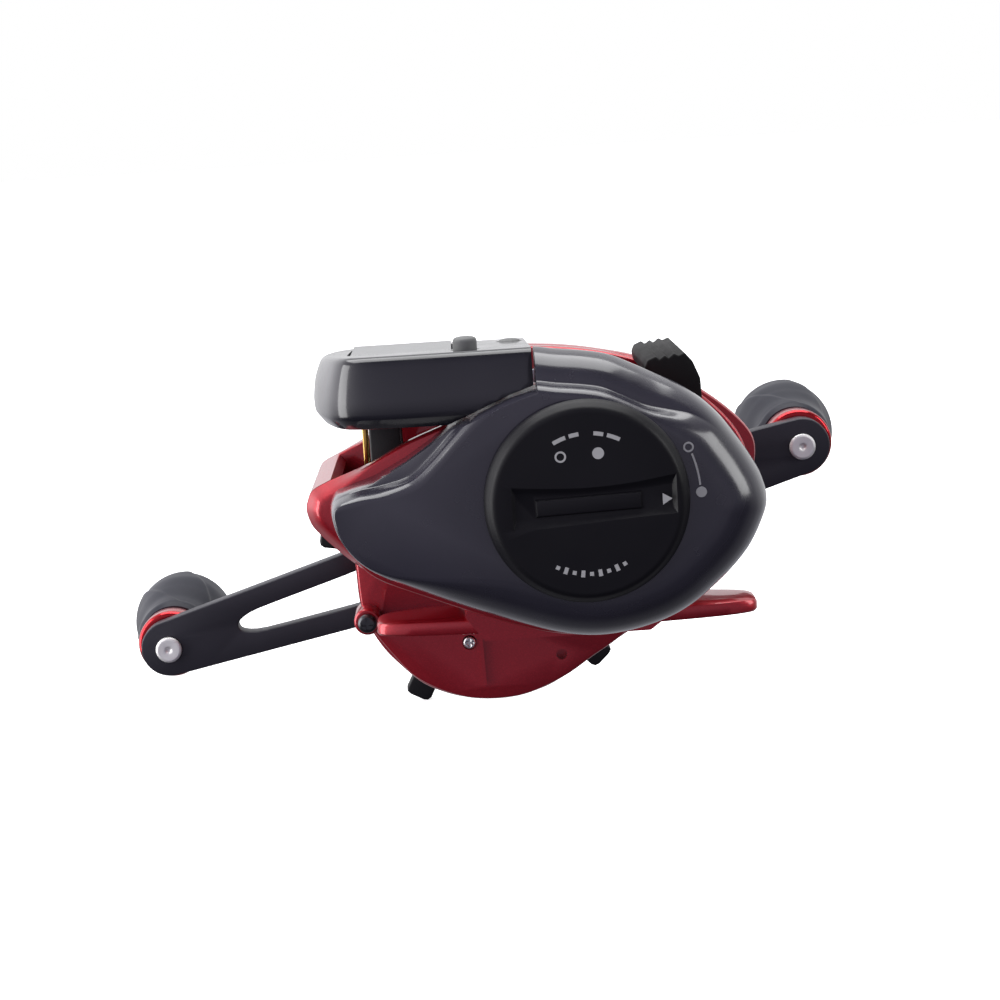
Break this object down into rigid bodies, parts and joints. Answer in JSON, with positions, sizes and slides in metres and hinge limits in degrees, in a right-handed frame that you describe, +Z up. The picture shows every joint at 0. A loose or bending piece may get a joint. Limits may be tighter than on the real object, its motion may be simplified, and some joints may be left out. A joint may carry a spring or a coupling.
{
  "type": "baitcasting reel",
  "caption": "Low-profile baitcasting fishing reel with a digital line counter, star drag, double-knob crank, level wind and thumb-bar clutch.",
  "frame": {"origin": "middle of the flat underside of the reel foot", "axes": "+X towards the angler, -X towards the rod tip, +Y towards the handle side, +Z up away from the rod"},
  "size_m": [0.1234, 0.0884, 0.064],
  "materials": {
    "red_paint": "candy red metallic paint, glossy",
    "gloss_black": "glossy black moulding",
    "satin_black": "satin black moulding",
    "black_metal": "black anodised, satin",
    "red_anodised": "red anodised, polished",
    "steel": "turned stainless steel",
    "alloy": "anodised alloy",
    "brass": "machined brass",
    "seal_rubber": "black rubber",
    "button_rubber": "grey rubber",
    "nylon": "natural nylon",
    "carbon": "woven carbon friction disc",
    "board": "green circuit board",
    "lcd": "grey-green display",
    "window": "smoked clear window"
  },
  "bodies": {
    "body": {"frame": "red_paint", "palm_side_plate": "gloss_black", "gear_side_cover": "red_paint", "counter_housing": "gloss_black", "counter_base": "satin_black", "circuit_board": "board", "lcd_panel": "lcd", "display_window": "window", "coin_cell": "steel", "battery_contact": "brass", "brake_magnet_ring": "steel", "palm_spool_bearing": "steel", "handle_side_spool_bearing": "steel", "pinion_bearing": "steel", "drive_shaft_bearing": "steel", "one_way_clutch": "steel", "cover_screw_1": "steel", "cover_screw_2": "steel", "cover_screw_3": "steel", "lug_screw": "black_metal", "bearing_plate_screw": "steel", "guide_rail": "steel", "yoke_post_a": "steel", "yoke_post_b": "steel"},
    "crank": {"drive_shaft": "steel", "drive_gear": "brass", "level_wind_drive_gear": "nylon", "drag_washer": "carbon", "drag_pressure_plate": "steel", "one_way_clutch_sleeve": "steel", "handle": "black_metal", "handle_nut": "steel", "nut_retainer": "black_metal", "retainer_screw": "steel", "knob_axle_front": "steel", "knob_axle_rear": "steel"},
    "star": {"star_drag": "black_metal"},
    "knob_a": {"knob_front": "satin_black", "knob_collar_front": "red_anodised"},
    "knob_b": {"knob_rear": "satin_black", "knob_collar_rear": "red_anodised"},
    "spool_unit": {"spool": "alloy", "spool_shaft": "steel", "spool_counter_magnet": "steel"},
    "yoke": {"clutch_yoke": "steel"},
    "pinion": {"pinion_gear": "brass"},
    "cam": {"clutch_cam": "black_metal"},
    "thumb": {"thumb_bar": "satin_black"},
    "worm": {"worm_shaft": "steel", "worm_gear": "nylon"},
    "guide": {"line_guide": "satin_black", "line_guide_insert": "brass", "pawl": "brass", "pawl_cap": "steel"},
    "cast_cap": {"cast_control_cap": "black_metal"},
    "cap_carrier": {"battery_cap_seal": "seal_rubber"},
    "cap": {"battery_cap": "satin_black"},
    "mode": {"mode_button": "button_rubber"},
    "reset": {"reset_button": "button_rubber"}
  },
  "joints": [
    {"name": "handle_spin", "type": "hinge", "parent": "body", "child": "crank", "pos_m": [-0.0116, 0.034, 0.0052], "axis": [0, -1, 0], "continuous": true},
    {"name": "star_turn", "type": "hinge", "parent": "crank", "child": "star", "pos_m": [-0.0116, 0.03, 0.0052], "axis": [0, -1, 0], "range_deg": [-180, 180]},
    {"name": "knob_front_spin", "type": "hinge", "parent": "crank", "child": "knob_a", "pos_m": [-0.0649, 0.048, -0.00839], "axis": [0, -1, 0], "continuous": true},
    {"name": "knob_rear_spin", "type": "hinge", "parent": "crank", "child": "knob_b", "pos_m": [0.0417, 0.048, 0.01878], "axis": [0, -1, 0], "continuous": true},
    {"name": "spool_spin", "type": "hinge", "parent": "body", "child": "spool_unit", "pos_m": [0.0019, 0, 0.0219], "axis": [0, -1, 0], "continuous": true},
    {"name": "thumb_press", "type": "slide", "parent": "body", "child": "thumb", "axis": [0.6, 0, -0.8], "range_m": [0, 0.004]},
    {"name": "clutch_lift", "type": "slide", "parent": "body", "child": "yoke", "axis": [0, 1, 0], "range_m": [0, 0.0016]},
    {"name": "pinion_spin", "type": "hinge", "parent": "yoke", "child": "pinion", "pos_m": [0.0019, 0.018, 0.0219], "axis": [0, -1, 0], "continuous": true},
    {"name": "cam_turn", "type": "hinge", "parent": "body", "child": "cam", "pos_m": [0.0019, 0.0152, 0.0219], "axis": [0, 1, 0], "range_deg": [0, 20]},
    {"name": "worm_spin", "type": "hinge", "parent": "body", "child": "worm", "pos_m": [-0.0245, 0, 0.019], "axis": [0, -1, 0], "continuous": true},
    {"name": "line_guide_slide", "type": "slide", "parent": "body", "child": "guide", "axis": [0, 1, 0], "range_m": [-0.008, 0.008]},
    {"name": "cast_control_turn", "type": "hinge", "parent": "body", "child": "cast_cap", "pos_m": [0.0019, 0.027, 0.0219], "axis": [0, -1, 0], "range_deg": [-180, 180]},
    {"name": "battery_cap_lift", "type": "slide", "parent": "body", "child": "cap_carrier", "axis": [0, -1, 0], "range_m": [0, 0.009]},
    {"name": "battery_cap_turn", "type": "hinge", "parent": "cap_carrier", "child": "cap", "pos_m": [0.0025, -0.026, 0.0227], "axis": [0, -1, 0], "range_deg": [0, 25]},
    {"name": "mode_press", "type": "slide", "parent": "body", "child": "mode", "axis": [0, 0, -1], "range_m": [0, 0.0008], "stiffness_N_per_m": 400},
    {"name": "reset_press", "type": "slide", "parent": "body", "child": "reset", "axis": [0, 0, -1], "range_m": [0, 0.0008], "stiffness_N_per_m": 400}
  ],
  "couplings": [
    {"joint": "spool_spin", "follows": "handle_spin", "ratio": -5.3333},
    {"joint": "pinion_spin", "follows": "handle_spin", "ratio": -5.3333},
    {"joint": "worm_spin", "follows": "handle_spin", "ratio": -2},
    {"joint": "clutch_lift", "follows": "thumb_press", "ratio": 0.4},
    {"joint": "cam_turn", "follows": "thumb_press", "rad_per_m": 87}
  ]
}
